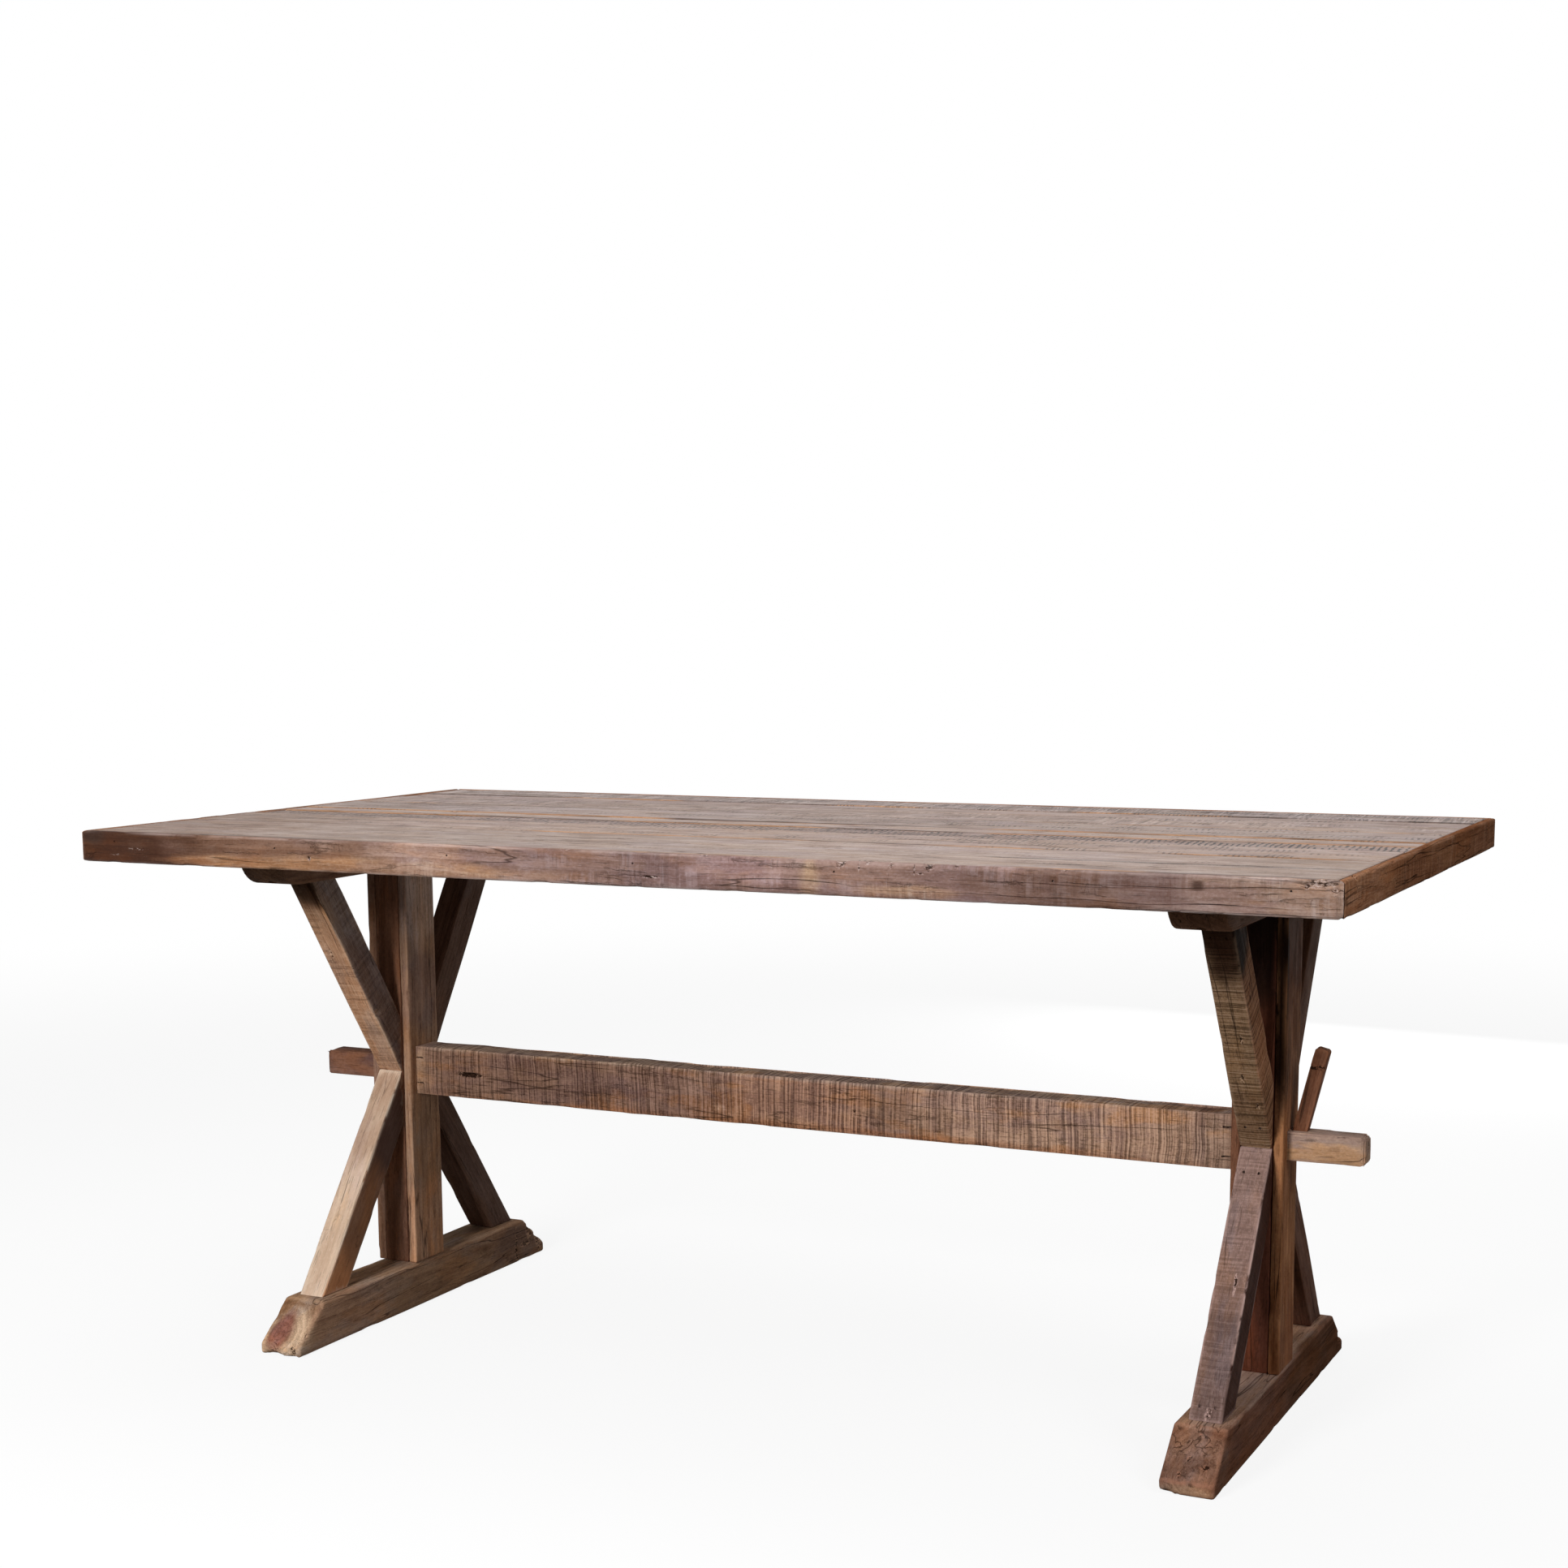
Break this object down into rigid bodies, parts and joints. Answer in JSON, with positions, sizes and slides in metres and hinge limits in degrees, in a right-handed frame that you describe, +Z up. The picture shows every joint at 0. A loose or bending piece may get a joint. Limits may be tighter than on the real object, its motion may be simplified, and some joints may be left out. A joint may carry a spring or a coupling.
{
  "type": "sawbuck table",
  "caption": "Rectangular plank-topped trestle table: an edging frame round lengthwise planks, X-braced post trestles on sloped feet, and a keyed through-tenon stretcher.",
  "frame": {"origin": "on the floor, in the middle of the table", "axes": "+X along the table's length to its right end, -Y towards the front, +Z up"},
  "size_m": [1.79, 0.94, 0.78],
  "materials": {
    "plank_wood": "weathered boards, grey-brown, matt wax",
    "sawn_plank_wood": "rough sawn board, dark in the saw marks, matt",
    "edging_wood": "old board planed on the outside, brown, satin wax",
    "batten_wood": "plain sawn wood, matt",
    "foot_wood": "old beam, brown, satin wax",
    "post_wood": "glued layers of old wood, brown, satin wax",
    "rail_wood": "old beam, dark brown, matt",
    "brace_wood": "old wood with saw marks, brown, matt wax",
    "stretcher_wood": "rough sawn beam, upright saw marks, matt",
    "key_wood": "hardwood key, reddish brown, satin",
    "dark_steel": "dull grey steel, lightly rusted"
  },
  "bodies": {
    "table": {"batten_centre": "batten_wood", "batten_left": "batten_wood", "batten_right": "batten_wood", "batten_screws": "dark_steel", "brace_left_back_lower": "brace_wood", "brace_left_back_upper": "brace_wood", "brace_left_front_lower": "brace_wood", "brace_left_front_upper": "brace_wood", "brace_nails": "dark_steel", "brace_right_back_lower": "brace_wood", "brace_right_back_upper": "brace_wood", "brace_right_front_lower": "brace_wood", "brace_right_front_upper": "brace_wood", "edging_back": "edging_wood", "edging_brads": "dark_steel", "edging_front": "edging_wood", "edging_left": "edging_wood", "edging_right": "edging_wood", "foot_left": "foot_wood", "foot_right": "foot_wood", "head_rail_left": "rail_wood", "head_rail_right": "rail_wood", "plank_1": "plank_wood", "plank_2": "plank_wood", "plank_3": "sawn_plank_wood", "plank_4": "plank_wood", "plank_5": "plank_wood", "plank_6": "plank_wood", "plank_7": "plank_wood", "plank_8": "plank_wood", "post_cheek_left_inner": "post_wood", "post_cheek_left_outer": "post_wood", "post_cheek_right_inner": "post_wood", "post_cheek_right_outer": "post_wood", "post_core_left": "post_wood", "post_core_right": "post_wood", "rail_screws": "dark_steel", "stretcher": "stretcher_wood"},
    "key_left": {"key_left": "key_wood"},
    "key_right": {"key_right": "key_wood"}
  },
  "joints": [
    {"name": "key_left_lift", "type": "slide", "parent": "table", "child": "key_left", "axis": [-0.2402, 0, 0.9707], "range_m": [0, 0.045]},
    {"name": "key_right_lift", "type": "slide", "parent": "table", "child": "key_right", "axis": [0.2402, 0, 0.9707], "range_m": [0, 0.045]}
  ]
}
